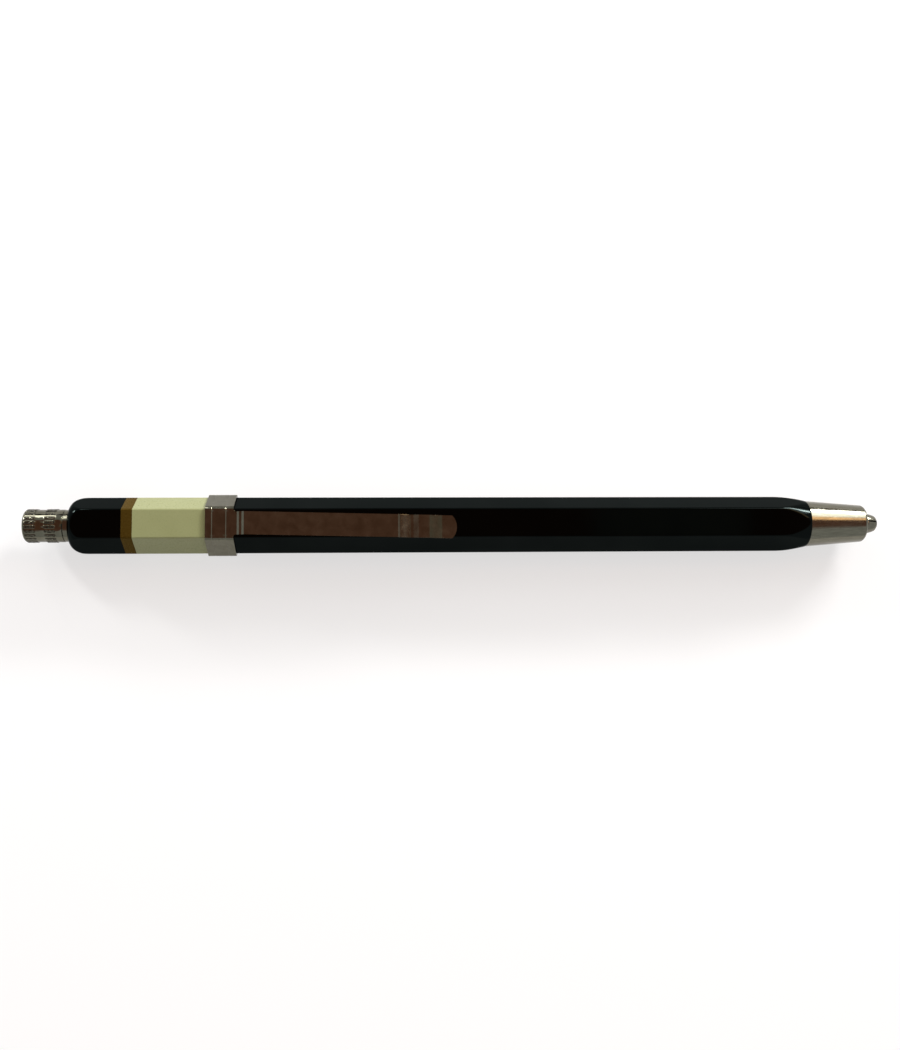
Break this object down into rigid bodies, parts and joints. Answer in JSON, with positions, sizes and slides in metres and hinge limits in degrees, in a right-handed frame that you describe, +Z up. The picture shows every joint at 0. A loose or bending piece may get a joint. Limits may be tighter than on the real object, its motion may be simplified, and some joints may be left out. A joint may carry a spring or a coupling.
{
  "type": "lead holder",
  "caption": "Hexagonal clutch lead holder with a push knob, a jaw clutch, a pocket clip and a lead pointer in the knob.",
  "frame": {"origin": "midway along the holder, under its axis, on the surface that it lies on", "axes": "+X from the push knob to the tip, +Z up through the pocket clip, +Y across the holder"},
  "size_m": [0.1406, 0.01, 0.0094],
  "materials": {
    "black_lacquer": "polished black lacquer",
    "gold_lacquer": "satin old gold lacquer",
    "ivory_lacquer": "smooth pale ivory lacquer",
    "nickel": "bright nickel plate with fine wear",
    "satin_nickel": "turned nickel plate, drawn lengthwise",
    "brass": "turned brass",
    "spring_steel": "drawn spring wire",
    "graphite": "graphite with a dull sheen"
  },
  "bodies": {
    "holder": {"barrel": "black_lacquer", "ivory_sleeve": "ivory_lacquer", "trim_ring": "gold_lacquer", "end_cap": "black_lacquer", "liner_tube": "brass", "nose_cone": "satin_nickel", "clip_band": "nickel", "spring_stop": "brass"},
    "clip": {"clip_arm": "nickel"},
    "mechanism": {"pusher_tube": "nickel", "reducer_bush": "brass", "lead_tube": "brass", "collet_hub": "brass", "return_spring": "spring_steel"},
    "jaw_1": {"jaw_1": "satin_nickel"},
    "jaw_2": {"jaw_2": "satin_nickel"},
    "jaw_3": {"jaw_3": "satin_nickel"},
    "lead": {"lead": "graphite"},
    "knob": {"knob": "nickel", "pointer_insert": "nickel"}
  },
  "joints": [
    {"name": "push", "type": "slide", "parent": "holder", "child": "mechanism", "axis": [1, 0, 0], "range_m": [0, 0.0035], "stiffness_N_per_m": 350, "springref_m": -0.004, "deforming": ["return_spring"]},
    {"name": "jaw_1_open", "type": "hinge", "parent": "mechanism", "child": "jaw_1", "pos_m": [0.05501, 0.00123, 0.00488], "axis": [0, -0.342, 0.9397], "range_deg": [0, 1.08]},
    {"name": "jaw_2_open", "type": "hinge", "parent": "mechanism", "child": "jaw_2", "pos_m": [0.05501, -0.001, 0.00527], "axis": [0, -0.6428, -0.766], "range_deg": [0, 1.08]},
    {"name": "jaw_3_open", "type": "hinge", "parent": "mechanism", "child": "jaw_3", "pos_m": [0.05501, -0.00023, 0.00314], "axis": [0, 0.9848, -0.1736], "range_deg": [0, 1.08]},
    {"name": "lead_feed", "type": "slide", "parent": "mechanism", "child": "lead", "axis": [1, 0, 0], "range_m": [0, 0.01]},
    {"name": "knob_removal", "type": "slide", "parent": "mechanism", "child": "knob", "axis": [-1, 0, 0], "range_m": [0, 0.02]},
    {"name": "clip_flex", "type": "hinge", "parent": "holder", "child": "clip", "pos_m": [-0.03592, 0, 0.00848], "axis": [0, -1, 0], "range_deg": [0, 4], "stiffness_Nm_per_rad": 0.015, "springref_deg": -2.86}
  ],
  "couplings": [
    {"joint": "jaw_1_open", "follows": "push", "rad_per_m": 5.3},
    {"joint": "jaw_2_open", "follows": "push", "rad_per_m": 5.3},
    {"joint": "jaw_3_open", "follows": "push", "rad_per_m": 5.3}
  ]
}
